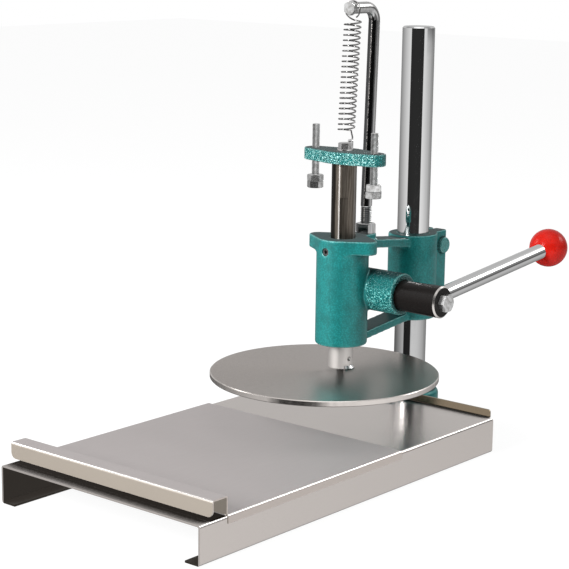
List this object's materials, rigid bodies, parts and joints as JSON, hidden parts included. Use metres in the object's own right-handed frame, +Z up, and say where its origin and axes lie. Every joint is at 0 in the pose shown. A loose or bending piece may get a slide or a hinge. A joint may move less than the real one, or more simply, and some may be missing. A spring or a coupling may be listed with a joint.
{
  "type": "dough press",
  "caption": "Bench press that flattens balls of dough: a hand lever drives a rack and pinion ram with a round disc, over a tray that slides on a folded base.",
  "frame": {"origin": "on the floor, where the axis of the round column meets the flat underside of its cast foot", "axes": "+Z up along the column; -Y towards the operator, the way the tray is pulled out; +X the side of the hand lever"},
  "size_m": [0.2618, 0.6325, 0.4737],
  "materials": {
    "hammered_paint": "teal hammered paint on cast iron, glossy",
    "stainless": "folded stainless sheet, semi mirror",
    "chrome": "hard chromed bar",
    "disc_steel": "turned and brushed in circles, bright rim",
    "dark_steel": "bare drawn bar, oiled",
    "black_steel": "blackened steel, satin",
    "zinc": "zinc plated fasteners and spring wire",
    "red_plastic": "glossy red ball"
  },
  "bodies": {
    "frame": {"base": "stainless", "column_foot": "hammered_paint", "foot_screws": "zinc", "column": "chrome"},
    "tray": {"tray": "stainless"},
    "head": {"head_casting": "hammered_paint", "set_screw": "zinc", "clamp_screws": "hammered_paint", "spring_post": "dark_steel", "post_nut": "zinc", "post_end_bolt": "zinc", "return_spring": "zinc"},
    "ram": {"ram": "dark_steel", "press_disc": "disc_steel", "disc_screw": "zinc", "weld_tack": "zinc", "crosshead": "hammered_paint", "top_bolt": "zinc", "spring_tab": "zinc"},
    "stop_left": {"stop_screw_left": "zinc", "stop_nut_left": "zinc"},
    "stop_right": {"stop_screw_right": "zinc", "stop_nut_right": "zinc"},
    "lever": {"pinion_shaft": "black_steel", "far_washer": "zinc", "far_bolt": "zinc", "lever_bolt": "zinc", "lever_rod": "chrome", "ball_knob": "red_plastic"}
  },
  "joints": [
    {"name": "tray_slide", "type": "slide", "parent": "frame", "child": "tray", "axis": [0, 1, 0], "range_m": [-0.03, 0.16]},
    {"name": "head_height", "type": "slide", "parent": "frame", "child": "head", "axis": [0, 0, 1], "range_m": [0, 0.2]},
    {"name": "ram_slide", "type": "slide", "parent": "head", "child": "ram", "axis": [0, 0, -1], "range_m": [0, 0.044], "stiffness_N_per_m": 380, "springref_m": -0.12, "deforming": ["return_spring"]},
    {"name": "lever_turn", "type": "hinge", "parent": "head", "child": "lever", "pos_m": [0.0955, -0.101, 0.1729], "axis": [1, 0, 0], "range_deg": [0, 181]},
    {"name": "stop_left_set", "type": "slide", "parent": "ram", "child": "stop_left", "axis": [0, 0, 1], "range_m": [0, 0.014]},
    {"name": "stop_right_set", "type": "slide", "parent": "ram", "child": "stop_right", "axis": [0, 0, 1], "range_m": [0, 0.017]}
  ],
  "couplings": [
    {"joint": "lever_turn", "follows": "ram_slide", "rad_per_m": 71.429}
  ]
}
